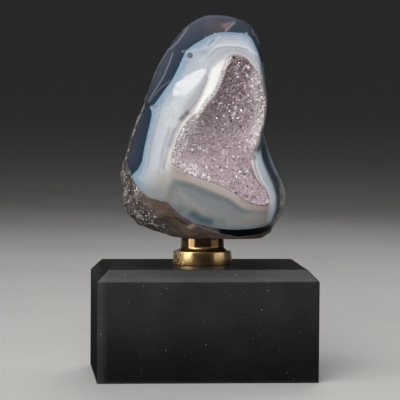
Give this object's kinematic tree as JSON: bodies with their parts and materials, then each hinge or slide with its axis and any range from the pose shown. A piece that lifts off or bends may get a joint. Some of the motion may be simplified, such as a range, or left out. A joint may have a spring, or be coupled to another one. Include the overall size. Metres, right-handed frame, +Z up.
{
  "type": "amethyst agate geode",
  "caption": "Polished agate geode with an open amethyst-lined hollow, carried by a turned brass mount on a black chamfered block base.",
  "frame": {"origin": "middle of the base block's underside, on the surface it stands on", "axes": "+Z up, -Y out of the polished face with the hollow, +X to the viewer's right"},
  "size_m": [0.0936, 0.066, 0.1549],
  "materials": {
    "agate": "polished",
    "amethyst": "crystalline",
    "brass": "turned",
    "black_paint": "satin black paint"
  },
  "bodies": {
    "root": {"agate_stone": "agate", "amethyst_druse": "amethyst", "brass_mount": "brass", "base_block": "black_paint"}
  },
  "joints": []
}
